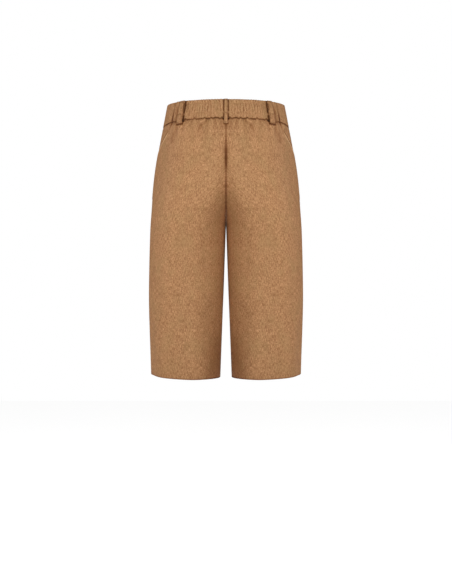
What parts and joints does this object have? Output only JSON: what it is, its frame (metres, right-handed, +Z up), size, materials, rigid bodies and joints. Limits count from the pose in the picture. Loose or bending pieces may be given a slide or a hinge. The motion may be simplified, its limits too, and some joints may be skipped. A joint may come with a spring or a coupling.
{
  "type": "bermuda shorts",
  "caption": "Straight knee-length tailored shorts with belt loops and an elasticated back waist, filled out as if worn, with open waist and legs.",
  "frame": {"origin": "middle of the waist opening, half way up the waistband at the side seams, where the wearer's waist holds the shorts", "axes": "+Z up, +X to the wearer's left, -Y the way the front faces and +Y the way the back faces"},
  "size_m": [0.3394, 0.2444, 0.604],
  "materials": {
    "cloth": "matt camel melange weave",
    "pocketing": "plain thin lining cloth",
    "button": "satin horn brown"
  },
  "bodies": {
    "root": {"back_left": "cloth", "back_right": "cloth", "front_left": "cloth", "front_right": "cloth", "waistband_back": "cloth", "waistband_front_left": "cloth", "waistband_front_right": "cloth", "loop_back_centre": "cloth", "loop_back_left": "cloth", "loop_back_right": "cloth", "loop_front_left": "cloth", "loop_front_right": "cloth", "pocket_left": "pocketing", "pocket_right": "pocketing", "button": "button"}
  },
  "joints": []
}
